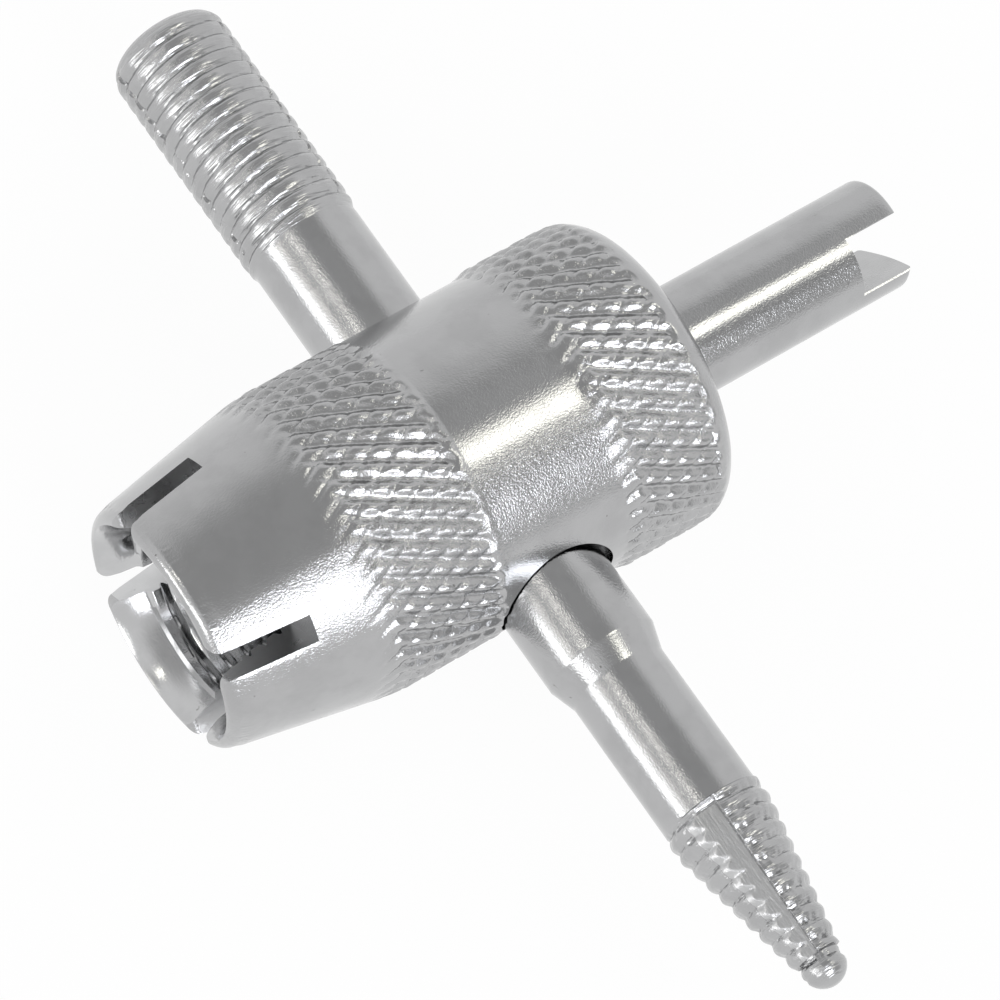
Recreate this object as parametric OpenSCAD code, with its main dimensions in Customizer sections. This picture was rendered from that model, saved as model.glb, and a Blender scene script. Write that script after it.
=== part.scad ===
// Four-way tyre valve tool: a knurled barrel with a slotted thread die at one end
// and a core key at the other, crossed by a pin with a tap and a tapered extractor.
// +X runs along the barrel to the key's fork, +Y along the pin to the tap, and +Z
// stands square to both. The origin is where the two axes cross.

/* [Barrel] */
// Diameter across the rear grip band
barrel_d = 14; // [13:0.1:16]
// Distance from the pin's axis to the die's mouth
mouth_reach = 14.7; // [14:0.1:20]
// Distance from the pin's axis to the barrel's rear face
rear_reach = 9.3; // [9:0.1:14]
// How much smaller in radius the front grip band is than the rear one
front_band_drop = 0.15; // [0.05:0.05:0.3]
// How much smaller in radius the plain waist is than the rear band
waist_drop = 0.2; // [0.2:0.05:0.6]
// Radius of the rounding round the rear face
rear_round = 1.5; // [0.5:0.1:2]
// Length of the rear grip band, with its rounded end and the slope at its foot
rear_band_len = 5.9; // [4.5:0.1:6]
// Length of the slope at the rear grip band's foot
rear_slope_len = 0.8; // [0.2:0.1:1.2]
// Length of the front grip band, from the waist to the cone
front_band_len = 4.8; // [3:0.1:5.6]
// Distance from the pin's axis to the front grip band
front_band_gap = 2.5; // [1.5:0.1:2.8]

/* [Die] */
// Diameter across the lip at the mouth
lip_d = 10.9; // [10.6:0.1:12]
// Radius of the rounding on the lip
lip_round = 0.4; // [0.2:0.05:0.6]
// Radial width of the chamfer inside the lip
lip_chamfer = 0.5; // [0.2:0.05:0.5]
// Depth of that chamfer from the mouth
lip_chamfer_depth = 0.6; // [0.3:0.1:1]
// Diameter of the hole that the thread is cut in
die_bore_d = 6.9; // [6:0.05:7.2]
// Depth of the straight part of that hole from the mouth
die_bore_depth = 9; // [6:0.1:9.8]
// Diameter of the plain counterbore in the mouth
mouth_bore_d = 8.7; // [7.4:0.1:8.8]
// Depth of the counterbore
mouth_bore_depth = 1.4; // [1.1:0.1:2]
// Number of saw cuts across the mouth, each making two slots
saw_cuts = 2; // [1:1:3]
// Width of a saw cut
saw_w = 1.25; // [0.6:0.05:1.5]
// Length of a saw cut from the mouth
saw_len = 3.8; // [2:0.1:6]
// Turn of the first saw cut about the barrel, from +Y towards +Z
saw_turn = 47; // [0:1:90]

/* [Core key] */
// Diameter of the key
key_d = 5; // [4:0.1:5.4]
// Distance from the pin's axis to the fork's tip
key_reach = 21.2; // [18:0.1:30]
// Depth of the socket that the key is pressed into
key_seat = 5.6; // [3:0.1:5.6]
// Radius of the rounding on the fork's tips
key_round = 0.4; // [0.1:0.05:0.8]
// Width of the slot between the prongs
fork_w = 2.5; // [1.5:0.05:2.6]
// Depth of the slot from the tips
fork_depth = 2.45; // [1.5:0.05:4]
// Turn of the slot about the key, from +Y towards +Z
fork_turn = 133; // [0:1:180]

/* [Cross pin] */
// Diameter of the pin's plain shank
shank_d = 5.06; // [4.5:0.02:5.18]
// Distance from the barrel's axis to the tap's end
tap_reach = 23.3; // [20:0.1:30]
// Outer diameter of the tap's thread
tap_d = 5.38; // [5.2:0.02:5.8]
// Length of the tap's thread
tap_len = 11.5; // [6:0.1:12]
// Radius of the rounding on the tap's end
tap_round = 0.95; // [0.2:0.05:1.2]
// Length of the shank from the barrel's axis to the neck's cone
shank_reach = 10.1; // [8:0.05:12]
// Length of the cone between the shank and the neck
neck_cone_len = 1.1; // [0.5:0.05:2]
// Diameter of the neck
neck_d = 4.34; // [3.6:0.02:4.4]
// Distance from the barrel's axis to the extractor's first ridge
neck_reach = 18.1; // [16:0.1:22]

/* [Flutes] */
// Number of flutes along the tap
tap_flutes = 3; // [1:1:4]
// Width of a tap flute
tap_flute_w = 0.9; // [0.4:0.05:1.2]
// Depth of a tap flute below the thread's outside
tap_flute_depth = 0.3; // [0.1:0.05:0.5]
// Turn of the first tap flute about the pin, from +Z towards +X
tap_flute_turn = 44; // [0:1:120]
// Number of flutes along the extractor
extractor_flutes = 3; // [1:1:3]
// Turn of the first flute's floor about the pin, from +Z towards +X
extractor_flute_turn = 2; // [0:1:120]
// Turn from the middle of a flute's floor back to the corner at its wall
flute_corner_turn = 12; // [4:1:20]
// Distance of a flute's floor from the axis, as a share of the radius there
flute_floor_share = 0.79; // [0.7:0.01:0.9]
// How far a flute's floor runs out before and after the first ridge
flute_runout = 0.8; // [0.3:0.1:1.5]

/* [Extractor] */
// Length of the ridged taper
taper_len = 7.1; // [5:0.1:10]
// Diameter over the first ridges, which stand in line before the taper starts
ridge_d = 4.5; // [4:0.02:4.8]
// Diameter that the taper would have over its ridges where it leaves the neck
taper_root_d = 4.84; // [4.2:0.02:5]
// Diameter of the taper over its ridges at the tip
taper_tip_d = 2.2; // [1.4:0.05:2.6]
// Distance between the ridges
ridge_pitch = 0.7056; // [0.5:0.01:1]
// Height of a ridge
ridge_h = 0.24; // [0.1:0.01:0.3]
// Diameter of the ball that ends the taper
tip_ball_d = 1.95; // [1.2:0.05:2.1]

/* [Fits] */
// Radial gap between the key and its socket
key_fit = 0.01; // [0:0.005:0.05]
// Radial gap between the pin and its cross hole
pin_fit = 0.01; // [0:0.005:0.05]
// Radial width of the eased edge round the cross hole's mouths
hole_ease = 0.12; // [0.05:0.01:0.3]
// Depth of that edge below the waist
hole_ease_depth = 0.5; // [0.2:0.05:1]

/* [Hidden] */
$fn = 96;

// How far a cutting shape runs past what it cuts
overrun = 1;
// Angle between a drilled hole's cone and its axis
drill_half_angle = 59;
// A ridge's corners from its far root to its near one, as shares of its pitch and height
ridge_shares = [[0.65, 0], [0.35, 0], [0, 1]];

barrel_r = barrel_d / 2;
front_band_r = barrel_r - front_band_drop;
waist_r = barrel_r - waist_drop;
lip_r = lip_d / 2;
front_band_x = -front_band_gap - front_band_len;
rear_band_x = rear_reach - rear_band_len;
die_bore_r = die_bore_d / 2;
hole_r = shank_d / 2 + pin_fit;
// Height at which the hole's side leaves the round waist
hole_rim = sqrt(pow(waist_r, 2) - pow(hole_r, 2));

key_r = key_d / 2;
key_x = rear_reach - key_seat;

shank_r = shank_d / 2;
tap_r = tap_d / 2;
tap_y = tap_reach - tap_len;
neck_r = neck_d / 2;
taper_r = taper_root_d / 2;
tip_r = taper_tip_d / 2;
taper_end = neck_reach + taper_len;
ridge_count = floor(taper_len / ridge_pitch);
tip_ball_r = tip_ball_d / 2;
// The ball rises from the taper's end, where it is as thick as a ridge's foot there
ball_foot_r = min(tip_r - ridge_h, tip_ball_r);
ball_y = taper_end + sqrt(pow(tip_ball_r, 2) - pow(ball_foot_r, 2));
ball_wrap = acos(ball_foot_r / tip_ball_r);
// Where a flute ends, between the last ridge and the ball
flute_end = (ridge_count * ridge_pitch + taper_len) / 2;
// Distance of a flute's floor from the axis where it leaves its run-out
floor_start_r = flute_floor_share * taper_at(flute_runout);
// Turn that keeps a flute's wall at one place round the taper as it narrows
flute_wall_yaw = atan(flute_floor_share * tan(flute_corner_turn) * (taper_r - tip_r) / taper_len);

// Radius over the ridges at a distance along the taper
function taper_at(along) = min(ridge_d / 2, taper_r + (tip_r - taper_r) * along / taper_len);

// Points of an arc, from one angle to another
function arc(cx, cy, r, from, to, steps = 12) =
    [for (i = [0:steps]) let (a = from + (to - from) * i / steps) [cx + r * cos(a), cy + r * sin(a)]];

// Turns a profile of [radius, place] points about the X axis
module turned_x(points) {
    rotate([0, 90, 0]) rotate_extrude() polygon(points);
}

// Turns a profile of [radius, place] points about the Y axis
module turned_y(points) {
    rotate([-90, 0, 0]) rotate_extrude() polygon(points);
}

module barrel_blank() {
    turned_x(concat(
        [[0, -mouth_reach]],
        arc(lip_r - lip_round, lip_round - mouth_reach, lip_round, -90, 0),
        [[front_band_r, front_band_x],
         [front_band_r, -front_band_gap],
         [waist_r, -front_band_gap],
         [waist_r, rear_band_x],
         [barrel_r, rear_band_x + rear_slope_len]],
        arc(barrel_r - rear_round, rear_reach - rear_round, rear_round, 0, 90),
        [[0, rear_reach]]));
}

// The thread's hole with its drilled bottom, and the chamfered counterbore in the mouth
module die_hole() {
    cone_len = die_bore_r / tan(drill_half_angle);
    chamfer_r = mouth_bore_d / 2 + lip_chamfer * (1 + overrun / lip_chamfer_depth);
    translate([-mouth_reach, 0, 0]) rotate([0, 90, 0]) {
        translate([0, 0, -overrun]) cylinder(h = die_bore_depth + overrun, r = die_bore_r);
        translate([0, 0, die_bore_depth]) cylinder(h = cone_len, r1 = die_bore_r, r2 = 0);
        translate([0, 0, -overrun]) cylinder(h = mouth_bore_depth + overrun, d = mouth_bore_d);
        translate([0, 0, -overrun])
            cylinder(h = lip_chamfer_depth + overrun, r1 = chamfer_r, r2 = mouth_bore_d / 2);
    }
}

module die_slots() {
    for (i = [0:saw_cuts - 1])
        rotate([saw_turn + 180 * i / saw_cuts, 0, 0])
            translate([-mouth_reach - overrun, -barrel_r, -saw_w / 2])
                cube([saw_len + overrun, barrel_d, saw_w]);
}

// The hole that the pin is pressed through, with both its edges eased
module cross_hole() {
    rotate([-90, 0, 0]) {
        cylinder(h = barrel_d + overrun, r = hole_r, center = true);
        for (side = [0, 1]) mirror([0, 0, side])
            translate([0, 0, hole_rim - hole_ease_depth])
                cylinder(h = barrel_r, r = hole_r + hole_ease);
    }
}

module grip_body() {
    color("lightsteelblue")
    difference() {
        barrel_blank();
        die_hole();
        die_slots();
        cross_hole();
        translate([key_x, 0, 0]) rotate([0, 90, 0])
            cylinder(h = key_seat + overrun, r = key_r + key_fit);
    }
}

module core_key() {
    color("silver")
    difference() {
        turned_x(concat(
            [[0, key_x], [key_r, key_x]],
            arc(key_r - key_round, key_reach - key_round, key_round, 0, 90),
            [[0, key_reach]]));
        rotate([fork_turn, 0, 0])
            translate([key_reach - fork_depth, -key_d, -fork_w / 2])
                cube([fork_depth + overrun, 2 * key_d, fork_w]);
    }
}

// The whole pin in one turning, from the extractor's tip to the tap's end
module pin_blank() {
    turned_y(concat(
        arc(0, -ball_y, tip_ball_r, -90, ball_wrap),
        [for (i = [ridge_count - 1:-1:0], step = ridge_shares)
            let (along = ridge_pitch * (i + step[0]))
            [taper_at(along) - ridge_h * step[1], -neck_reach - along]],
        [[neck_r, -neck_reach],
         [neck_r, -shank_reach - neck_cone_len],
         [shank_r, -shank_reach],
         [shank_r, tap_y],
         [tap_r, tap_y + tap_r - shank_r]],
        arc(tap_r - tap_round, tap_reach - tap_round, tap_round, 0, 90),
        [[0, tap_reach]]));
}

// A shallow groove along the tap that starts half its width past the thread's start
module tap_flute() {
    translate([-tap_flute_w / 2, tap_y + tap_flute_w / 2, tap_r - tap_flute_depth])
        cube([tap_flute_w, tap_len + overrun, tap_flute_depth + overrun]);
}

// A square corner cut along the taper, seen from the tip: a flat floor that runs
// out into the neck, and a wall beside it that follows the taper
module extractor_flute() {
    translate([-floor_start_r * tan(flute_corner_turn), -neck_reach, 0])
        rotate([0, 0, -flute_wall_yaw]) rotate([90, 0, -90])
            linear_extrude(taper_root_d)
                polygon([[-2 * flute_runout, neck_r + (neck_r - floor_start_r) / 2],
                         [flute_runout, floor_start_r],
                         [flute_end, flute_floor_share * taper_at(flute_end)],
                         [flute_end, taper_root_d], [-2 * flute_runout, taper_root_d]]);
}

module cross_pin() {
    color("gainsboro")
    difference() {
        pin_blank();
        for (i = [0:tap_flutes - 1])
            rotate([0, tap_flute_turn + 360 * i / tap_flutes, 0]) tap_flute();
        for (i = [0:extractor_flutes - 1])
            rotate([0, extractor_flute_turn + 360 * i / extractor_flutes, 0]) extractor_flute();
    }
}

grip_body();
core_key();
cross_pin();
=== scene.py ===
import math

import bmesh
import bpy
import numpy as np
from bpy.props import FloatProperty, FloatVectorProperty, IntProperty, PointerProperty
from bpy.types import Operator, Panel, PropertyGroup
from mathutils import Matrix, Vector, noise


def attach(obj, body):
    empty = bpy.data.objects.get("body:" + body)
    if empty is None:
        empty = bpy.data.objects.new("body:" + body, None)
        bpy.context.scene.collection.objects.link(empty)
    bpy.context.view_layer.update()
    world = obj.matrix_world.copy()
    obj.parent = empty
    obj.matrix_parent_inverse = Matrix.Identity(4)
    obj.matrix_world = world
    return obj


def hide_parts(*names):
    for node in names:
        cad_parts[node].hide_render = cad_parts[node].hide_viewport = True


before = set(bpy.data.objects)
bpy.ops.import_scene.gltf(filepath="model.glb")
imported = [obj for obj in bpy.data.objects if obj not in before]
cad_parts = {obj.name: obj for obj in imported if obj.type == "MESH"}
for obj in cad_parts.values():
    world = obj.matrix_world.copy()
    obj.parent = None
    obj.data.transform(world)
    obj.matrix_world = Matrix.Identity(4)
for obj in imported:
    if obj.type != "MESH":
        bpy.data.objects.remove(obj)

bl_info = {
    "name": "Valve tool",
    "version": (1, 0, 0),
    "blender": (4, 5, 0),
    "location": "3D View > Sidebar > Valve tool",
    "description": "A knurled barrel with a die, a core key and a crossing tap and extractor pin",
    "category": "Object",
}

# The shapes are worked in millimetres and brought to metres as each piece is finished
MM = 0.001
TAU = 2 * math.pi
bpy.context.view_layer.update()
# Corners closer together than this are one, in mm, and edges that turn by more degrees than this stay sharp
SAME_SPOT = 1e-4
SHARP_EDGE = 42


# Shapes

def turned(profile, axis, steps, start=0.0):
    """Turns (place, radius) points about the X or Y axis, from +Y or +Z onwards, into a closed bmesh."""
    bm = bmesh.new()
    c, s = math.cos(start), math.sin(start)
    spots = [bm.verts.new((p, r * c, r * s) if axis == "X" else (r * s, p, r * c)) for p, r in profile]
    edges = [bm.edges.new(pair) for pair in zip(spots, spots[1:])]
    bmesh.ops.spin(bm, geom=spots + edges, cent=(0, 0, 0), axis=(1, 0, 0) if axis == "X" else (0, 1, 0),
                   dvec=(0, 0, 0), angle=TAU, steps=steps, use_merge=True, use_duplicate=False)
    bmesh.ops.remove_doubles(bm, verts=bm.verts, dist=SAME_SPOT)
    bmesh.ops.recalc_face_normals(bm, faces=bm.faces)
    return bm


def arc(place, radius, size, first, last, steps):
    """Points of a profile's rounding: its centre's place and radius, its size, and its angles in degrees."""
    turns = [math.radians(first + (last - first) * i / steps) for i in range(steps + 1)]
    return [(place + size * math.cos(t), radius + size * math.sin(t)) for t in turns]


def along(first, last, step):
    """Places from first to last, no further apart than step."""
    count = max(1, math.ceil(abs(last - first) / step - 1e-6))
    return [first + (last - first) * i / count for i in range(count + 1)]


def to_object(bm, name):
    mesh = bpy.data.meshes.new(name)
    bm.to_mesh(mesh)
    bm.free()
    piece = bpy.data.objects.new(name, mesh)
    bpy.context.scene.collection.objects.link(piece)
    return piece


def polar(mesh, axis, steps, start=0.0):
    """Each vertex's place, radius and turn about the axis, with every turn back on its own column."""
    co = np.empty(len(mesh.vertices) * 3, np.float32)
    mesh.vertices.foreach_get("co", co)
    co = co.reshape(-1, 3).astype(float)
    if axis == "X":
        place, radius, turn = co[:, 0], np.hypot(co[:, 1], co[:, 2]), np.arctan2(co[:, 2], co[:, 1])
    else:
        place, radius, turn = co[:, 1], np.hypot(co[:, 0], co[:, 2]), np.arctan2(co[:, 0], co[:, 2])
    column = TAU / steps
    return place, radius, np.round((turn - start) / column) * column + start


def set_polar(mesh, axis, place, radius, turn):
    c, s = radius * np.cos(turn), radius * np.sin(turn)
    co = np.stack([place, c, s] if axis == "X" else [s, place, c], 1)
    mesh.vertices.foreach_set("co", co.astype(np.float32).ravel())
    mesh.update()


def of_faces(mesh, name):
    """A vector of each face of a mesh, such as its centre or its normal."""
    values = np.empty(len(mesh.polygons) * 3, np.float32)
    mesh.polygons.foreach_get(name, values)
    return values.reshape(-1, 3)


def smooth(low, high, value):
    t = np.clip((value - low) / (high - low), 0, 1)
    return t * t * (3 - 2 * t)


def wear(place, turn, radius, size, seed):
    """Soft random values from -1 to 1 over a turned surface, with patches of the given size."""
    return np.array([noise.noise(Vector((p / size, r * math.cos(t) / size, r * math.sin(t) / size + seed)))
                     for p, t, r in zip(place, turn, radius)])


def cut(piece, cutters):
    """Cuts the closed cutters out of the piece one after the other, and removes them."""
    for cutter in cutters:
        step = piece.modifiers.new("cut", "BOOLEAN")
        step.operation = "DIFFERENCE"
        step.solver = "MANIFOLD"
        step.object = cutter
    bpy.context.view_layer.update()
    mesh = bpy.data.meshes.new_from_object(piece.evaluated_get(bpy.context.evaluated_depsgraph_get()))
    piece.modifiers.clear()
    old, piece.data = piece.data, mesh
    mesh.name = piece.name
    bpy.data.meshes.remove(old)
    for cutter in cutters:
        shape = cutter.data
        bpy.data.objects.remove(cutter)
        bpy.data.meshes.remove(shape)


def turn_about_x(bm, angle):
    bmesh.ops.rotate(bm, cent=(0, 0, 0), matrix=Matrix.Rotation(angle, 3, "X"), verts=bm.verts)


def box(low, high, turn=0.0):
    """A box between two corners, turned about the X axis."""
    bm = bmesh.new()
    bmesh.ops.create_cube(bm, size=1)
    low, high = Vector(low), Vector(high)
    bmesh.ops.scale(bm, vec=high - low, verts=bm.verts)
    bmesh.ops.translate(bm, vec=(low + high) / 2, verts=bm.verts)
    turn_about_x(bm, turn)
    return bm


def finish_piece(piece, finishes, node):
    """Brings a piece to metres, gives it its finishes and lets it stand for its CAD node."""
    mesh = piece.data
    mesh.transform(Matrix.Scale(MM, 4))
    mesh.materials.clear()
    for name in finishes:
        mesh.materials.append(finish(name))
    mesh.shade_smooth()
    mesh.set_sharp_from_angle(angle=math.radians(SHARP_EDGE))
    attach(piece, "root")
    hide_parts(node)


# Finishes

class Graph:
    """Adds nodes to a material's or a world's tree."""

    def __init__(self, tree):
        self.tree = tree
        tree.nodes.clear()

    def add(self, kind, values=None, **options):
        node = self.tree.nodes.new(kind)
        for key, value in options.items():
            setattr(node, key, value)
        for key, value in (values or {}).items():
            socket = node.inputs[key]
            if isinstance(value, bpy.types.NodeSocket):
                self.tree.links.new(value, socket)
            else:
                socket.default_value = value
        return node

    def maths(self, operation, a, b=0.0, c=0.0):
        return self.add("ShaderNodeMath", {0: a, 1: b, 2: c}, operation=operation).outputs[0]

    def spread(self, value, low, high, to_low, to_high):
        """A value brought smoothly from one range to another."""
        ranges = {"Value": value, "From Min": low, "From Max": high, "To Min": to_low, "To Max": to_high}
        return self.add("ShaderNodeMapRange", ranges, interpolation_type="SMOOTHSTEP").outputs[0]

    def blend(self, share, first, second):
        """A colour between two others."""
        mix = self.add("ShaderNodeMix", {"Factor": share, "A": first, "B": second}, data_type="RGBA")
        return mix.outputs["Result"]

    def grain(self, spot, size, detail, roughness=0.5, stretch=(1, 1, 1)):
        """Noise whose patches are about size mm across, stretched along an axis by a number under 1."""
        place = self.add("ShaderNodeMapping", {"Vector": spot, "Scale": stretch}).outputs[0]
        look = {"Vector": place, "Scale": 1 / MM / size, "Detail": detail, "Roughness": roughness}
        return self.add("ShaderNodeTexNoise", look).outputs["Fac"]


# Sizes in mm of the noise behind the stains, the pits, the flecks, the fine grain and the lines of a tool
STAIN_SIZE = 1.6
PIT_SIZE = 0.45
FLECK_SIZE = 0.09
FINE_SIZE = 0.05
LINE_SIZE = 0.1
# How much of the grain's height the flecks, the fine grain and the pits make
FLECK_SHARE = 0.75
FINE_SHARE = 0.25
PIT_SHARE = 0.2
# A stain's colour as a share of the plating's, and how much smoother or rougher the plating is in places
STAINED = 0.93
ROUGHNESS_SWING = 0.03
# How far in mm the deeper grain of a stretch fades in and out to either side of its ends
STRETCH_FADE = 0.3


def plated_steel(name, roughness, grain_depth, lighter=1.0, lines=None, line_depth=0.0, coarser=()):
    """Bright zinc plating: a pitted grain that sparkles, faint stains and specks, and lines left by a tool.

    Lengths are in mm. The tool's lines run along each axis whose number in the argument lines is under 1.
    Each entry of coarser is an axis, two places on it, and how much deeper the grain is between them.
    """
    steel = bpy.context.scene.valve_finish
    colour, dark = [c * lighter for c in steel.plating], tuple(steel.speck)
    material = bpy.data.materials.new(name)
    material.use_nodes = True
    g = Graph(material.node_tree)
    spot = g.add("ShaderNodeTexCoord").outputs["Object"]
    cloud = g.grain(spot, STAIN_SIZE, 3.0, 0.55)
    pits = g.grain(spot, PIT_SIZE, 2.0)
    fleck = g.grain(spot, FLECK_SIZE, 2.0, 0.6)
    fine = g.grain(spot, FINE_SIZE, 1.0)
    stain = g.spread(cloud, 0.38, 0.68, 0.0, 1.0)
    speck = g.spread(pits, 0.74, 0.8, 0.0, 0.7)
    tint = g.blend(stain, (*colour, 1), (*[c * STAINED for c in colour], 1))
    tint = g.blend(speck, tint, (*dark, 1))
    rough = g.spread(cloud, 0.3, 0.7, roughness - ROUGHNESS_SWING, roughness + ROUGHNESS_SWING)
    height = g.maths("ADD", g.maths("MULTIPLY", fleck, FLECK_SHARE), g.maths("MULTIPLY", fine, FINE_SHARE))
    height = g.maths("ADD", height, g.maths("MULTIPLY", pits, PIT_SHARE))
    part = g.add("ShaderNodeSeparateXYZ", {0: spot}).outputs
    depth = grain_depth * MM
    for axis, low, high, gain in coarser:
        after = g.spread(part[axis], (low - STRETCH_FADE) * MM, (low + STRETCH_FADE) * MM, 0.0, 1.0)
        before = g.spread(part[axis], (high - STRETCH_FADE) * MM, (high + STRETCH_FADE) * MM, 1.0, 0.0)
        inside = g.maths("MULTIPLY", after, before)
        depth = g.maths("MULTIPLY_ADD", inside, gain * grain_depth * MM, depth)
    bump = g.add("ShaderNodeBump", {"Strength": 1.0, "Distance": depth, "Height": height}).outputs[0]
    if lines:
        cuts = g.grain(spot, LINE_SIZE, 1.0, stretch=lines)
        bump = g.add("ShaderNodeBump", {"Strength": 1.0, "Distance": line_depth * MM, "Height": cuts,
                                        "Normal": bump}).outputs[0]
    plating = g.add("ShaderNodeBsdfPrincipled", {"Base Color": tint, "Metallic": 1.0, "Roughness": rough,
                                                 "Normal": bump})
    g.add("ShaderNodeOutputMaterial", {"Surface": plating.outputs[0]})
    return material


# What plated_steel takes for each finish. The grain is deeper on one side of each piece and over the knurl
FINISHES = {
    "plated_barrel": {"roughness": 0.13, "grain_depth": 0.011,
                      "coarser": (("Y", -5.4, -2.5, 1.7), ("X", -8.6, -2.4, 0.9), ("X", 3.4, 8.3, 0.9))},
    # The slots' sawn walls are rougher, with saw lines, and their lighter colour is painted light against
    # the shade in the slots
    "sawn_face_painted_light": {"roughness": 0.3, "grain_depth": 0.01, "lighter": 1.35,
                  "lines": (0.05, 1, 1), "line_depth": 0.006},
    # The die's bore has fine lines, and its lighter colour is painted light against the shade in the die's
    # hole
    "die_bore_painted_light": {"roughness": 0.13, "grain_depth": 0.005, "lighter": 1.2,
                 "lines": (1, 0.2, 0.2), "line_depth": 0.002},
    "plated_key": {"roughness": 0.12, "grain_depth": 0.009, "lines": (0.12, 1, 1), "line_depth": 0.003,
                   "coarser": (("Y", -2.1, -1.2, 1.4),)},
    "plated_pin": {"roughness": 0.12, "grain_depth": 0.011, "coarser": (("X", -1.6, -0.6, 0.6),)},
    "rolled_thread": {"roughness": 0.2, "grain_depth": 0.009, "lines": (0.1, 1, 0.1), "line_depth": 0.045,
                      "coarser": (("X", -1.7, -0.6, 1.2),)},
    "flute_floor": {"roughness": 0.34, "grain_depth": 0.014, "lighter": 1.2,
                    "lines": (1, 0.06, 1), "line_depth": 0.02},
}


def finish(name):
    """The finish of that name, made the first time it is asked for."""
    return bpy.data.materials.get(name) or plated_steel(name, **FINISHES[name])


# Barrel

class BarrelSizes(PropertyGroup):
    rear_band: FloatProperty(name="Rear band", description="Radius over the rear grip band",
                             default=0.007, unit="LENGTH")
    front_band: FloatProperty(name="Front band", description="Radius over the front grip band",
                              default=0.00685, unit="LENGTH")
    waist: FloatProperty(name="Waist", description="Radius of the plain waist",
                         default=0.0068, unit="LENGTH")
    lip: FloatProperty(name="Lip", description="Outer radius of the lip at the mouth",
                       default=0.00544, unit="LENGTH")
    mouth: FloatProperty(name="Mouth", description="Distance from the pin's axis to the die's mouth",
                         default=0.01487, unit="LENGTH")
    rear: FloatProperty(name="Rear", description="Distance from the pin's axis to the rear face",
                        default=0.0093, unit="LENGTH")
    saw_width: FloatProperty(name="Saw cut", description="Width of the cuts across the mouth",
                             default=0.00125, unit="LENGTH")
    groove: FloatProperty(name="Main groove", description="Depth of the knurl's deeper grooves",
                          default=0.00021, unit="LENGTH")
    cross_groove: FloatProperty(name="Cross groove", description="Depth of the knurl's shallower grooves",
                                default=0.00012, unit="LENGTH")
    starts: IntProperty(name="Knurl starts", description="Grooves of each hand round the barrel", default=46)


# Columns and rows of the knurl's mesh to one groove, and the length in which a groove moves round by one
PER_GROOVE = 12
GROOVE_LEAD = 1.665
KNURL_ROW = GROOVE_LEAD / PER_GROOVE
# Where each band's knurl runs, and how far its grooves are turned, as a share of the space between two
FRONT_KNURL = (-8.8, -2.3)
REAR_KNURL = (3.35, 8.4)
FRONT_SHIFT = 0.406
REAR_SHIFT = 0.147
# Where each band's main and cross grooves start and reach full depth, and where the rear ones run out
FRONT_MAIN = (-8.3, -6.8)
REAR_MAIN = (3.6, 4.7)
FRONT_CROSS = (-8.8, -7.6)
REAR_CROSS = (3.35, 3.8)
REAR_OUT = (8.1, 8.25)
# Distances in mm from the middle of a groove to where its floor and its wall end
MAIN_WALL = (0.02, 0.36)
CROSS_WALL = (0.0, 0.24)
# Share by which the grooves' depth varies, and the height in mm of the roughness in them
DEPTH_SWING = 0.35
GROOVE_ROUGHNESS = 0.022
# Ends of the slope at the rear band's foot, where the cone and the front band end, and the rear's rounding
SLOPE = (3.42, 4.22)
CONE_END = -7.3
FRONT_END = -2.46
REAR_ROUND = 1.5
# The lip's rounding, and how much wider the cone starts behind it
LIP_ROUND = 0.5
CONE_START = 0.06
# Turn in degrees and inner end of each slot that the saw left in the mouth, and the rounding at the lip
SLOTS = ((49.2, -11.0), (135.7, -10.76), (227.5, -11.0), (321.3, -10.76))
SLOT_ROUND = 0.4
# The counterbore's corners: how far each is from the mouth, and its radius
COUNTERBORE = ((0, 4.92), (0.12, 4.82), (0.8, 4.5), (1.45, 4.36))
# The die's thread: where it starts and ends behind the mouth, its pitch, its core's radius, its depth, how
# much wider the core is at its start, and the columns of its mesh
DIE_THREAD = (1.55, 9)
DIE_PITCH = 0.82
DIE_CORE = 3.45
DIE_TOOTH = 0.4
DIE_LEAD = 0.62
DIE_COLUMNS = 144
# Length of the drill's point at the die's end
DRILL_POINT = 2.073
# Radius of the cross hole, the columns of its cutter and of the socket's, and how far out its cutter reaches
HOLE = 2.56
HOLE_COLUMNS = 96
CUTTER_END = 9
# The die's finish, whose lighter colour is painted light, goes on faces within the first radius and in
# front of the place, where they look inwards or are within the second radius
DIE_EDGE = 5.2
DIE_BACK = -3
DIE_HOLLOW = 4


def knurl_rows(span):
    """Places of a band's rows, so that both hands of grooves run through corners of the mesh."""
    first = math.floor(span[0] / KNURL_ROW)
    last = math.ceil(span[1] / KNURL_ROW)
    return [k * KNURL_ROW for k in range(first, last + 1)]


def land(place, sizes):
    """The barrel's radius before knurling, at places along it from the lip's rounding to the rear one."""
    lip, front = sizes.lip / MM, sizes.front_band / MM
    waist, rear = sizes.waist / MM, sizes.rear_band / MM
    start = -sizes.mouth / MM + LIP_ROUND
    ends = [start, start + 0.2, CONE_END - 0.5, CONE_END + 0.5]
    cone_radii = np.interp(ends[1:3], [start, CONE_END], [lip + CONE_START, front])
    cone = np.interp(place, ends, [lip, *cone_radii, front])
    step_down = smooth(FRONT_END - 0.05, FRONT_END + 0.12, place)
    step_up = smooth(SLOPE[0] - 0.1, SLOPE[1] + 0.1, place)
    return cone + (waist - front) * step_down + (rear - waist) * step_up


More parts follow.
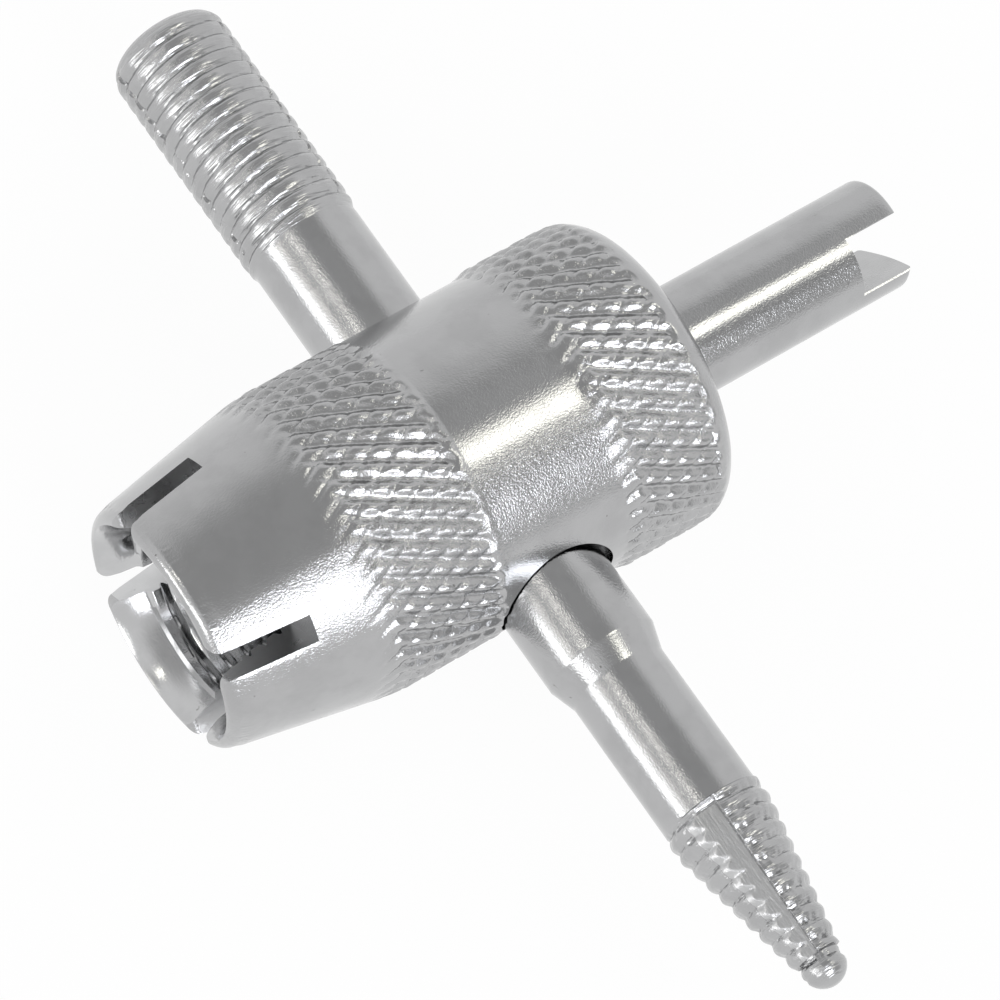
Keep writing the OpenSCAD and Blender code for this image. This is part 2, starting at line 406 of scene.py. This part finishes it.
def groove_depth(place, turn, sizes):
    """Depth of the knurl below the land, with rounded grooves of either hand."""
    main, cross = sizes.groove / MM, sizes.cross_groove / MM
    front = place < 0
    count = turn / TAU * sizes.starts + np.where(front, FRONT_SHIFT, REAR_SHIFT)
    lead = place / GROOVE_LEAD
    pitch = TAU * sizes.front_band / MM / sizes.starts
    normal = pitch * math.cos(math.atan(pitch / GROOVE_LEAD))
    off_main = np.abs((count - lead) % 1 - 0.5) * normal
    off_cross = np.abs((count + lead) % 1 - 0.5) * normal
    out = np.where(front, 1 - smooth(FRONT_END - 0.45, FRONT_END, place), 1 - smooth(*REAR_OUT, place))
    main_fade = np.where(front, smooth(*FRONT_MAIN, place), smooth(*REAR_MAIN, place)) * out
    cross_fade = np.where(front, smooth(*FRONT_CROSS, place), smooth(*REAR_CROSS, place)) * out
    return np.hypot(main * main_fade * (1 - smooth(*MAIN_WALL, off_main)),
                    cross * cross_fade * (1 - smooth(*CROSS_WALL, off_cross)))


def barrel_blank(sizes):
    """The barrel's profile: the lip, the cone, the front band, the waist, the rear band and its rounding."""
    mouth, rear = sizes.mouth / MM, sizes.rear / MM
    lip, top = sizes.lip / MM, sizes.rear_band / MM
    front, back = knurl_rows(FRONT_KNURL), knurl_rows(REAR_KNURL)
    cone = along(-mouth + LIP_ROUND, front[0], 0.35)[1:-1]
    body = cone + front + along(front[-1], back[0], 0.5)[1:-1] + back
    round_start, centre = rear - REAR_ROUND, top - REAR_ROUND
    points = [(p, r if p < round_start else centre + math.sqrt(REAR_ROUND ** 2 - (p - round_start) ** 2))
              for p, r in zip(body, land(np.array(body), sizes))]
    first = math.degrees(math.acos((back[-1] - round_start) / REAR_ROUND))
    return ([(-mouth, 0), (-mouth, 2.2), (-mouth, 3.9)]
            + arc(-mouth + LIP_ROUND, lip - LIP_ROUND, LIP_ROUND, 180, 90, 8) + points
            + arc(round_start, centre, REAR_ROUND, first, 0, 8)[1:]
            + [(rear, 2.2), (rear, 0)])


def knurl(place, radius, turn, sizes):
    """Presses the grooves of both bands, worn to uneven depths and rough inside."""
    for first, last in (FRONT_KNURL, REAR_KNURL):
        here = (place > first - 0.2) & (place < last + 0.2) & (radius > 6)
        p, t, before = place[here], turn[here], radius[here]
        worn = wear(p, t, before, 0.6, seed=3.0)
        rough = wear(p, t, before, 0.21, seed=9.0)
        depth = groove_depth(p, t, sizes) * (1 + DEPTH_SWING * worn)
        radius[here] = before - depth + GROOVE_ROUGHNESS * rough * smooth(0.0, 0.05, depth)


def burr_lip(place, radius, turn, sizes):
    """Raises small burrs behind the lip's rounding."""
    edge = (np.abs(place + sizes.mouth / MM - LIP_ROUND) < 0.12) & (radius > 5)
    burr = wear(place[edge], turn[edge], radius[edge], 0.13, seed=5.0)
    radius[edge] += 0.035 * np.maximum(0, burr)


def dress_edge(place, radius, turn, sizes):
    """Files a narrow uneven facet along the far edge of the second slot."""
    slot, end = SLOTS[1]
    here = (place > -sizes.mouth / MM + 0.6) & (place < end + 0.1) & (radius > 5)
    p, t, r = place[here], turn[here] % TAU, radius[here]
    start = math.radians(slot) + np.arcsin(sizes.saw_width / MM / 2 / r)
    width = np.radians(1.5 + 1.3 * wear(p, np.zeros_like(p), r, 0.5, seed=2.0))
    lean = math.radians(15)
    facet = r * math.cos(lean) / np.cos(t - start - width + lean)
    radius[here] = np.where((t > start - 0.03) & (t < start + width), np.minimum(r, facet), r)


def die_cutter(sizes):
    """The hole in the mouth: the counterbore, the thread, wider at its start, and the drill's point."""
    mouth = sizes.mouth / MM
    first, last = -mouth + DIE_THREAD[0], -mouth + DIE_THREAD[1]
    rows = along(first, last, DIE_PITCH / 10)
    profile = ([(-mouth - 1, 0), (-mouth - 1, 5.6)] + [(-mouth + depth, r) for depth, r in COUNTERBORE]
               + [(p, DIE_CORE) for p in rows] + [(last + DRILL_POINT, 0)])
    cutter = to_object(turned(profile, "X", DIE_COLUMNS), "die_cutter")
    place, radius, turn = polar(cutter.data, "X", DIE_COLUMNS)
    wave = np.abs((place / DIE_PITCH - turn / TAU + 0.3) % 1 - 0.5) * 2
    core = DIE_CORE + DIE_LEAD * (1 - smooth(-mouth + 1.2, -mouth + 5, place))
    inside = (place > rows[0] - 1e-3) & (place < rows[-1] + 1e-3)
    threaded = np.where(inside, core + DIE_TOOTH * smooth(0.5, 0.95, wave), radius)
    set_polar(cutter.data, "X", place, threaded, turn)
    return cutter


def hole_cutter(sizes):
    """The cross hole, with its mouths eased: the lower one stands a little open on the fork's side."""
    rim = math.sqrt((sizes.waist / MM) ** 2 - HOLE ** 2)
    low = [(-CUTTER_END, 0), (-CUTTER_END, 2.8), (-rim + 0.55, 2.72), (-rim + 0.75, HOLE)]
    high = [(rim - 0.5, HOLE), (rim - 0.4, 2.64), (CUTTER_END, 2.7), (CUTTER_END, 0)]
    cutter = to_object(turned(low + high, "Y", HOLE_COLUMNS), "hole_cutter")
    for corner in cutter.data.vertices:
        if corner.co.y < -rim + 0.6:
            corner.co.x += 0.1
    return cutter


def socket_cutter():
    """The key's socket in the rear, which opens a little at its mouth."""
    bottom, wall, mouth, past = 3.6, 2.52, 2.8, 10.2
    profile = [(bottom, 0), (bottom, wall), (8.9, wall), (9.3, mouth), (past, mouth), (past, 0)]
    return to_object(turned(profile, "X", HOLE_COLUMNS), "key_cutter")


def slot_cutters(sizes):
    """The slots in the mouth, whose corners at the lip are rounded over."""
    mouth, half = sizes.mouth / MM, sizes.saw_width / MM / 2
    corner = [(-mouth + SLOT_ROUND - SLOT_ROUND * math.cos(a), half + SLOT_ROUND - SLOT_ROUND * math.sin(a))
              for a in (0, 0.3, 0.6, 0.9, 1.2, math.pi / 2)]
    cutters = []
    for slot, end in SLOTS:
        upper = [(-mouth - 1, half + SLOT_ROUND)] + corner + [(end, half)]
        outline = upper + [(x, -z) for x, z in reversed(upper)]
        bm = bmesh.new()
        flat = bm.faces.new([bm.verts.new((x, 0, z)) for x, z in outline])
        grown = bmesh.ops.extrude_face_region(bm, geom=[flat])["geom"]
        bmesh.ops.translate(bm, vec=(0, 8, 0), verts=[v for v in grown if isinstance(v, bmesh.types.BMVert)])
        bmesh.ops.recalc_face_normals(bm, faces=bm.faces)
        turn_about_x(bm, math.radians(slot))
        cutters.append(to_object(bm, "slot_cutter"))
    return cutters


def part_finishes(mesh, sizes):
    """Gives the slot walls the barrel's second finish and the die its third, both with painted light."""
    centres, normals = of_faces(mesh, "center") / MM, of_faces(mesh, "normal")
    out = np.hypot(centres[:, 1], centres[:, 2])
    inward = -(centres[:, 1] * normals[:, 1] + centres[:, 2] * normals[:, 2]) / np.maximum(out, 1e-6)
    in_mouth = (out < DIE_EDGE) & (centres[:, 0] < DIE_BACK)
    index = np.where(in_mouth & ((inward > 0.3) | (out < DIE_HOLLOW)), 2, 0)
    for slot, end in SLOTS:
        a = math.radians(slot)
        flat = np.abs(-normals[:, 1] * math.sin(a) + normals[:, 2] * math.cos(a))
        off = np.abs(-centres[:, 1] * math.sin(a) + centres[:, 2] * math.cos(a))
        on_wall = np.abs(off - sizes.saw_width / MM / 2) < 0.01
        index[(flat > 0.999) & on_wall & (centres[:, 0] < end + 0.1)] = 1
    mesh.polygons.foreach_set("material_index", index.astype(np.int32))


def make_barrel():
    sizes = bpy.context.scene.valve_barrel
    steps = sizes.starts * PER_GROOVE
    blank = turned(barrel_blank(sizes), "X", steps)
    bmesh.ops.triangulate(blank, faces=blank.faces, quad_method="FIXED", ngon_method="BEAUTY")
    piece = to_object(blank, "knurled_barrel")
    place, radius, turn = polar(piece.data, "X", steps)
    knurl(place, radius, turn, sizes)
    burr_lip(place, radius, turn, sizes)
    dress_edge(place, radius, turn, sizes)
    set_polar(piece.data, "X", place, radius, turn)
    cut(piece, [die_cutter(sizes), hole_cutter(sizes), socket_cutter(), *slot_cutters(sizes)])
    finish_piece(piece, ("plated_barrel", "sawn_face_painted_light", "die_bore_painted_light"), "grip_body")
    part_finishes(piece.data, sizes)


class VALVE_OT_barrel(Operator):
    """Turn, knurl, thread and slot the barrel"""
    bl_idname = "valve_tool.barrel"
    bl_label = "Make barrel"

    def execute(self, context):
        make_barrel()
        return {"FINISHED"}


# Core key

class KeySizes(PropertyGroup):
    radius: FloatProperty(name="Key", description="Radius of the key", default=0.0025, unit="LENGTH")
    tip: FloatProperty(name="Tip", description="Distance from the pin's axis to the fork's tips",
                       default=0.02172, unit="LENGTH")
    slot_width: FloatProperty(name="Slot", description="Width of the slot between the prongs",
                              default=0.0025, unit="LENGTH")
    slot_depth: FloatProperty(name="Slot depth", description="Depth of the slot from the tips",
                              default=0.0028, unit="LENGTH")


# Where the key's foot stands in its socket, the place and half the width of each fine ring, and its depth
KEY_FOOT = 3.7
KEY_RINGS = ((9.72, 0.07), (10.02, 0.06))
RING_DEPTH = 0.03
# Radius of the domed end, the rounding of its rim, how far the end slants for each mm across the fork's
# slot, and which way that is along Y and Z
KEY_DOME = 14.0
KEY_RIM = 0.3
KEY_SLANT = 0.045
SLANT_WAY = (0.731, 0.682)
# Turn of the fork's slot in degrees. The rest is as it lies before that turn: how far the slot's lower and
# upper faces are moved, half the size of the bar that bevels an edge, and the bar's own turn at both edges
# on the side of -Y, and at the upper and the lower one on the other side
FORK_TURN = 133
FORK_LOWER = -0.1
FORK_UPPER = -0.03
BEVEL = 0.07
BACK_BEVEL = 45
UPPER_BEVEL = 62
LOWER_BEVEL = -27


def key_blank(radius, tip):
    """The key's profile, with a chamfered foot, two fine rings and a dome, and where the rim starts."""
    shoulder = tip - (radius - KEY_RIM) ** 2 / 2 / KEY_DOME - KEY_RIM
    foot = [(KEY_FOOT, 0), (KEY_FOOT, radius - 0.2), (KEY_FOOT + 0.2, radius)]
    rings = [spot for p, half in KEY_RINGS
             for spot in ((p - half, radius), (p, radius - RING_DEPTH), (p + half, radius))]
    inner = [(p, radius) for p in along(4.2, 9.5, 0.8)]
    outer = [(p, radius) for p in along(10.3, shoulder, 0.3)]
    rim = arc(shoulder, radius - KEY_RIM, KEY_RIM, 90, 8, 6)[1:]
    dome = [(tip - r ** 2 / 2 / KEY_DOME, r) for r in (1.8, 1.3, 0.8, 0.4, 0)]
    return foot + inner + rings + outer + rim + dome, shoulder


def fork_cutters(sizes):
    """The fork's slot, and a bar along each of its four edges that takes the corner off."""
    radius, tip, depth = sizes.radius / MM, sizes.tip / MM, sizes.slot_depth / MM
    half, turn = sizes.slot_width / MM / 2, math.radians(FORK_TURN)
    lower, upper = -half + FORK_LOWER, half + FORK_UPPER
    cutters = [to_object(box((tip - depth, -5, lower), (tip + 1, 5, upper), turn), "slot_cutter")]
    for up, bevel in ((lower, LOWER_BEVEL), (upper, UPPER_BEVEL)):
        side = math.sqrt(radius ** 2 - up ** 2)
        for across, lean in ((-side, BACK_BEVEL), (side, bevel)):
            bar = box((tip - depth - 0.02, -BEVEL, -BEVEL), (tip + 1, BEVEL, BEVEL), math.radians(lean))
            bmesh.ops.translate(bar, vec=(0, across, up), verts=bar.verts)
            turn_about_x(bar, turn)
            cutters.append(to_object(bar, "edge_cutter"))
    return cutters


def make_key():
    sizes = bpy.context.scene.valve_key
    profile, shoulder = key_blank(sizes.radius / MM, sizes.tip / MM)
    piece = to_object(turned(profile, "X", 128), "forked_key")
    for corner in piece.data.vertices:
        if corner.co.x > shoulder - 1:
            corner.co.x += KEY_SLANT * (SLANT_WAY[0] * corner.co.y + SLANT_WAY[1] * corner.co.z)
    cut(piece, fork_cutters(sizes))
    finish_piece(piece, ("plated_key",), "core_key")


class VALVE_OT_key(Operator):
    """Turn the core key and cut the slot of its fork"""
    bl_idname = "valve_tool.core_key"
    bl_label = "Make core key"

    def execute(self, context):
        make_key()
        return {"FINISHED"}


# Cross pin

class PinSizes(PropertyGroup):
    shank: FloatProperty(name="Shank", description="Radius of the plain shank",
                         default=0.00254, unit="LENGTH")
    neck: FloatProperty(name="Neck", description="Radius of the neck",
                        default=0.00217, unit="LENGTH")
    tap: FloatProperty(name="Tap", description="Radius over the tap's thread",
                       default=0.00269, unit="LENGTH")
    tap_end: FloatProperty(name="Tap's end", description="Distance from the barrel's axis to the tap's end",
                           default=0.02315, unit="LENGTH")
    tap_pitch: FloatProperty(name="Tap pitch", description="Distance between the turns of the tap's thread",
                             default=0.000735, unit="LENGTH")
    ridge_top: FloatProperty(name="First ridges", description="Radius over the extractor's first ridges",
                             default=0.00226, unit="LENGTH")
    ridge_pitch: FloatProperty(name="Ridge pitch", description="Distance between the extractor's ridges",
                               default=0.00073, unit="LENGTH")
    ridge: FloatProperty(name="Ridge", description="Height of the extractor's ridges",
                         default=0.00017, unit="LENGTH")


PIN_COLUMNS = 240
# Length in mm of the rows where the pin is threaded or ridged
PIN_ROW = 0.061
# Where the tap's thread starts, its end's rounding, and where the neck's cone meets the neck and the shank
TAP_START = 11.85
TAP_ROUND = 0.95
CONE_FOOT = -11.3
CONE_HEAD = -10.16
# Turns in degrees of the lines notched along the tap, half their width, and where they start
TAP_LINES = (-80, 50, 165)
LINE_HALF = 2.4
LINE_START = 12.6
# Depth in mm of the grooves between the tap's turns, of the turns' own rounding, and of their wear
TAP_GROOVE = 0.1
TAP_CROWN = 0.035
TAP_WEAR = 0.012
# Where the extractor starts and ends, the radius at its end, its slope, and its ball's centre and radius
TAPER = (-17.95, -25.3)
TAPER_END = 1.08
TAPER_SLOPE = 0.187
BALL = (-25.67, 0.98)
# The flutes: their number, the turn of the first one's wall about the pin, how far a floor faces away from
# it, how far round the floor goes, its distance from the axis as a share of the taper's radius, and how much
# that share grows where the flute runs out
FLUTES = 3
NOTCH = math.radians(-12)
NOTCH_TILT = math.radians(6)
NOTCH_WIDTH = math.radians(-52)
FLOOR_SHARE = 0.885
RUN_OUT = 0.12


def taper_radius(place, sizes):
    """Radius over the extractor's ridges: the first stand in line, then the taper runs down to the ball."""
    return np.minimum(sizes.ridge_top / MM, TAPER_END + TAPER_SLOPE * (place - TAPER[1]))


def pin_blank(sizes):
    """The pin's profile: the ball, the taper, the neck, its cone, the shank, the tap and its rounded end."""
    shank, neck, tap, end = sizes.shank / MM, sizes.neck / MM, sizes.tap / MM, sizes.tap_end / MM
    ball = arc(BALL[0], 0, BALL[1], 180, 60, 14)
    rows = along(TAPER[1], TAPER[0], PIN_ROW)
    taper = list(zip(rows, taper_radius(np.array(rows), sizes)))
    thin = [(p, neck) for p in along(-17.9, -16.6, 0.1) + along(-16.2, -11.7, 0.5)]
    cone = [(CONE_FOOT - 0.08, neck), (CONE_FOOT, neck + 0.003), (CONE_FOOT + 0.08, neck + 0.03),
            (CONE_HEAD - 0.06, shank - 0.03), (CONE_HEAD, shank - 0.003), (CONE_HEAD + 0.08, shank)]
    plain = [(p, shank) for p in along(-9.6, TAP_START - 0.15, 0.6)]
    thread = [(p, tap) for p in along(TAP_START, end - TAP_ROUND, PIN_ROW)]
    rounding = arc(end - TAP_ROUND, tap - TAP_ROUND, TAP_ROUND, 90, 0, 14)[1:]
    return ball + taper + thin + cone + plain + thread + rounding + [(end, 1.0), (end, 0)]


def from_turn(turn, middle):
    """How far round the turns are from a middle one, from minus half a turn to half a turn."""
    return (turn - middle + math.pi) % TAU - math.pi


def cut_tap(place, radius, turn, sizes):
    """The tap's thread, with flat crests and narrow round valleys, and its three notched lines."""
    shank, tap = sizes.shank / MM, sizes.tap / MM
    end, pitch = sizes.tap_end / MM, sizes.tap_pitch / MM
    here = (place > TAP_START - 0.05) & (place < end - 0.15) & (radius > 1.8)
    p, t, r = place[here], turn[here], radius[here]
    worn = wear(p, t, r, 0.35, seed=7.0)
    off = np.abs((p / pitch - t / TAU - 0.51) % 1 - 0.5) * 2 * (1 + 0.06 * worn)
    groove = 1 - smooth(0.0, 0.62, off)
    grown = smooth(TAP_START, TAP_START + 0.5, p - 0.15 * np.sin(t))
    crest = np.minimum(r, shank + (tap - shank) * grown)
    depth = TAP_GROOVE * groove + TAP_CROWN * (1 - off) ** 2 + TAP_WEAR * worn
    depth = depth * (0.1 + 0.9 * grown) * (1 - smooth(end - 0.75, end - 0.3, p))
    cut_r = crest - depth * (1 + 0.15 * worn)
    for line in TAP_LINES:
        side = from_turn(t, math.radians(line))
        floor = (tap - 0.09 + 0.25 * worn) / np.maximum(np.cos(side), 0.2)
        on_line = (np.abs(side) < math.radians(LINE_HALF)) & (p > LINE_START)
        cut_r = np.where(on_line, np.minimum(cut_r, floor), cut_r)
    radius[here] = cut_r


def cut_extractor(place, radius, turn, sizes):
    """The extractor's round ridges, and its flutes with a flat floor and a low wall."""
    pitch, height = sizes.ridge_pitch / MM, sizes.ridge / MM
    first, last = TAPER
    here = (place < first + 0.01) & (place > BALL[0] - 0.25) & (radius > 0.6)
    p, t, r = place[here], turn[here], radius[here]
    worn = wear(p, t, r, 0.3, seed=11.0)
    wave = np.abs(np.cos(math.pi * ((first - p) / pitch - t / TAU + 0.1)))
    radius[here] -= height * (1 - wave) * (1 + 0.35 * worn) + 0.03 * np.maximum(0, worn)
    here = (place < first + 0.25) & (place > last - 0.1)
    p, t, notch = place[here], turn[here], radius[here]
    floor_r = taper_radius(p, sizes) * (FLOOR_SHARE + RUN_OUT * smooth(first - 0.2, first + 0.05, p))
    for k in range(FLUTES):
        side = from_turn(t, NOTCH + TAU * k / FLUTES)
        floor = floor_r / np.maximum(np.cos(side + NOTCH_TILT), 0.3)
        floor = np.where(side > -1e-6, floor_r, floor)
        near = (side > NOTCH_WIDTH) & (side < math.radians(0.8))
        notch = np.where(near, np.minimum(notch, floor), notch)
    radius[here] = notch


def thread_finishes(mesh):
    """Gives the flutes' floors the second of the pin's finishes, and the rest of the threads the third."""
    centres = of_faces(mesh, "center") / MM
    place = centres[:, 1]
    turns = np.degrees(np.arctan2(centres[:, 0], centres[:, 2]) - NOTCH)
    floor = (place < TAPER[0] - 0.3) & (place > TAPER[1]) & (np.abs((turns + 82) % 120 - 60) < 20)
    thread = (place > TAP_START) | (place < TAPER[0])
    mesh.polygons.foreach_set("material_index", np.where(floor, 1, np.where(thread, 2, 0)).astype(np.int32))


def make_pin():
    sizes = bpy.context.scene.valve_pin
    piece = to_object(turned(pin_blank(sizes), "Y", PIN_COLUMNS, NOTCH), "tap_and_extractor")
    place, radius, turn = polar(piece.data, "Y", PIN_COLUMNS, NOTCH)
    cut_tap(place, radius, turn, sizes)
    cut_extractor(place, radius, turn, sizes)
    set_polar(piece.data, "Y", place, radius, turn)
    finish_piece(piece, ("plated_pin", "flute_floor", "rolled_thread"), "cross_pin")
    thread_finishes(piece.data)


class VALVE_OT_pin(Operator):
    """Turn the cross pin, with its tap, its neck and its fluted extractor"""
    bl_idname = "valve_tool.cross_pin"
    bl_label = "Make cross pin"

    def execute(self, context):
        make_pin()
        return {"FINISHED"}


# Stage

class StageSettings(PropertyGroup):
    azimuth: FloatProperty(name="Azimuth", description="Side that the camera stands on",
                           default=math.radians(-49.48), subtype="ANGLE")
    elevation: FloatProperty(name="Elevation", description="Camera's angle above the floor",
                             default=math.radians(63.38), subtype="ANGLE")
    roll: FloatProperty(name="Roll", description="Camera's turn about its own line of sight",
                        default=math.radians(16.92), subtype="ANGLE")
    distance: FloatProperty(name="Distance", description="Distance from the camera to its aim",
                            default=0.2061, unit="LENGTH")
    aim: FloatVectorProperty(name="Aim", description="Point at the middle of the picture",
                             default=(0.000555, -0.002005, -0.000442), subtype="TRANSLATION")
    lens: FloatProperty(name="Lens", description="Focal length in millimetres on a 36 mm sensor",
                        default=180.0)
    floor: FloatVectorProperty(name="Floor", description="Colour of the floor",
                               default=(0.86, 0.86, 0.86), subtype="COLOR")


class Finishes(PropertyGroup):
    plating: FloatVectorProperty(name="Plating", description="Colour of the zinc plating",
                                 default=(0.46, 0.462, 0.466), subtype="COLOR")
    speck: FloatVectorProperty(name="Specks", description="Colour of the pits in the plating",
                               default=(0.2, 0.195, 0.19), subtype="COLOR")


WHITE = (1.0, 1.0, 1.0)
CREAM = (1.0, 0.98, 0.87)
WARM = (1.0, 0.97, 0.87)
COOL = (0.93, 0.95, 1.0)
# The studio's lights and dark cards: direction, radius and softness in degrees, added brightness, colour
LIGHTS = (
    ((0.37, -0.25, 0.89), 8.5, 2.0, 2.7, CREAM),
    ((-0.12, -0.85, 0.51), 13, 2.0, 3.0, COOL),
    ((-0.02, -0.84, 0.54), 13, 2.0, 3.6, COOL),
    ((-0.93, 0.3, 0.16), 7.5, 2.0, 3.0, WHITE),
    ((-0.94, 0.03, 0.2), 7, 2.0, 3.0, WHITE),
    ((-0.88, -0.27, 0.4), 11, 2.0, 3.0, WHITE),
    ((-0.86, 0.3, 0.43), 6, 3.0, 0.9, WARM),
    ((-0.55, 0.28, 0.79), 3.5, 1.5, 4.0, WARM),
    ((-0.74, 0.3, 0.6), 6, 4.0, -0.3, WHITE),
    ((0.35, 0.4, 0.85), 5, 4.0, -0.1, WHITE),
    ((0.38, -0.58, 0.72), 9, 5.0, -0.3, WHITE),
    ((0.5, -0.75, 0.4), 20, 8.0, -0.34, WHITE),
)
# Brightness of the studio, and the dim patch overhead: how much darker it is, its reach along X and Y, how
# far it is moved along Y, and where its edge starts and ends as shares of its reach
STUDIO = 0.92
DIM = 0.42
DIM_WIDTH = 0.35
DIM_DEPTH = 0.5
DIM_MOVED = 0.08
DIM_EDGE = (0.85, 1.9)
# Height in metres of the floor, just under the barrel, its radius, and how white it is to the camera
FLOOR_LEVEL = -0.00702
FLOOR_RADIUS = 0.8
FLOOR_WHITE = 0.95


def make_world():
    """A studio with a dim patch overhead, paler towards the floor, and its lights and dark cards."""
    world = bpy.data.worlds.new("studio")
    bpy.context.scene.world = world
    world.use_nodes = True
    g = Graph(world.node_tree)
    way = g.add("ShaderNodeTexCoord").outputs["Generated"]
    part = g.add("ShaderNodeSeparateXYZ", {0: way}).outputs
    wide = g.maths("POWER", g.maths("DIVIDE", part["X"], DIM_WIDTH), 2.0)
    deep = g.maths("POWER", g.maths("DIVIDE", g.maths("SUBTRACT", part["Y"], DIM_MOVED), DIM_DEPTH), 2.0)
    off = g.maths("SQRT", g.maths("ADD", wide, deep))
    dim = g.maths("MULTIPLY", g.spread(off, *DIM_EDGE, DIM, 0.0), g.maths("GREATER_THAN", part["Z"], 0.0))
    light = g.maths("SUBTRACT", STUDIO, dim)
    for direction, radius, soft, brightness, colour in LIGHTS:
        near = g.add("ShaderNodeVectorMath", {0: way, 1: Vector(direction).normalized()},
                     operation="DOT_PRODUCT").outputs["Value"]
        outer, inner = math.cos(math.radians(radius + soft)), math.cos(math.radians(radius - soft))
        patch = g.spread(near, outer, inner, 0.0, brightness)
        light = g.add("ShaderNodeVectorMath", {0: patch, 1: colour, 2: light},
                      operation="MULTIPLY_ADD").outputs[0]
    seen = g.add("ShaderNodeLightPath").outputs["Is Camera Ray"]
    back = g.add("ShaderNodeBackground", {"Color": g.blend(seen, light, (*WHITE, 1)), "Strength": 1.0})
    g.add("ShaderNodeOutputWorld", {"Surface": back.outputs[0]})


def make_floor(colour):
    """A pale floor that takes shadows and looks white to the camera and in mirrors."""
    bm = bmesh.new()
    bmesh.ops.create_circle(bm, cap_ends=True, radius=FLOOR_RADIUS, segments=96)
    bmesh.ops.translate(bm, vec=(0, 0, FLOOR_LEVEL), verts=bm.verts)
    floor = to_object(bm, "floor")
    material = bpy.data.materials.new("pale_floor")
    material.use_nodes = True
    g = Graph(material.node_tree)
    path = g.add("ShaderNodeLightPath").outputs
    mirrored = g.maths("MAXIMUM", path["Is Glossy Ray"], path["Is Transmission Ray"])
    seen = g.maths("MAXIMUM", path["Is Camera Ray"], mirrored)
    matt = g.add("ShaderNodeBsdfDiffuse", {"Color": (*colour, 1)})
    glow = g.add("ShaderNodeEmission", {"Color": (*WHITE, 1), "Strength": 1.0})
    both = g.add("ShaderNodeMixShader", {0: g.maths("MULTIPLY", seen, FLOOR_WHITE), 1: matt.outputs[0],
                                         2: glow.outputs[0]})
    g.add("ShaderNodeOutputMaterial", {"Surface": both.outputs[0]})
    floor.data.materials.append(material)


def make_camera(stage):
    a, e, roll = stage.azimuth, stage.elevation, stage.roll
    back = Vector((math.sin(a) * math.cos(e), -math.cos(a) * math.cos(e), math.sin(e)))
    right = Vector((math.cos(a), math.sin(a), 0))
    up = back.cross(right)
    right, up = math.cos(roll) * right + math.sin(roll) * up, math.cos(roll) * up - math.sin(roll) * right
    data = bpy.data.cameras.new("camera")
    data.sensor_width = 36
    data.lens = stage.lens
    data.clip_start = 0.01
    camera = bpy.data.objects.new("camera", data)
    bpy.context.scene.collection.objects.link(camera)
    spot = Vector(stage.aim) + back * stage.distance
    camera.matrix_world = Matrix.Translation(spot) @ Matrix((right, up, back)).transposed().to_4x4()
    bpy.context.scene.camera = camera


class VALVE_OT_stage(Operator):
    """Set up the floor, the studio light and the camera"""
    bl_idname = "valve_tool.stage"
    bl_label = "Make stage"

    def execute(self, context):
        stage = context.scene.valve_stage
        make_world()
        make_floor(tuple(stage.floor))
        make_camera(stage)
        context.scene.view_settings.view_transform = "Standard"
        return {"FINISHED"}


# Panel

class VALVE_PT_panel(Panel):
    """The valve tool's pieces and sizes"""
    bl_idname = "VALVE_PT_panel"
    bl_label = "Valve tool"
    bl_space_type = "VIEW_3D"
    bl_region_type = "UI"
    bl_category = "Valve tool"

    def draw(self, context):
        scene = context.scene
        for operator, group in ((VALVE_OT_stage, scene.valve_stage), (VALVE_OT_barrel, scene.valve_barrel),
                                (VALVE_OT_key, scene.valve_key), (VALVE_OT_pin, scene.valve_pin)):
            area = self.layout.box()
            for name in group.bl_rna.properties.keys():
                if name not in {"rna_type", "name"}:
                    area.prop(group, name)
            area.operator(operator.bl_idname)
        for name in ("plating", "speck"):
            self.layout.prop(scene.valve_finish, name)


GROUPS = {"valve_barrel": BarrelSizes, "valve_key": KeySizes, "valve_pin": PinSizes,
          "valve_stage": StageSettings, "valve_finish": Finishes}
CLASSES = (*GROUPS.values(), VALVE_OT_barrel, VALVE_OT_key, VALVE_OT_pin, VALVE_OT_stage, VALVE_PT_panel)


def register():
    for item in CLASSES:
        bpy.utils.register_class(item)
    for name, group in GROUPS.items():
        setattr(bpy.types.Scene, name, PointerProperty(type=group))


def unregister():
    for name in GROUPS:
        delattr(bpy.types.Scene, name)
    for item in reversed(CLASSES):
        bpy.utils.unregister_class(item)


def main():
    register()
    bpy.ops.valve_tool.stage()
    bpy.ops.valve_tool.barrel()
    bpy.ops.valve_tool.core_key()
    bpy.ops.valve_tool.cross_pin()
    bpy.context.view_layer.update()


if __name__ == "__main__":
    main()
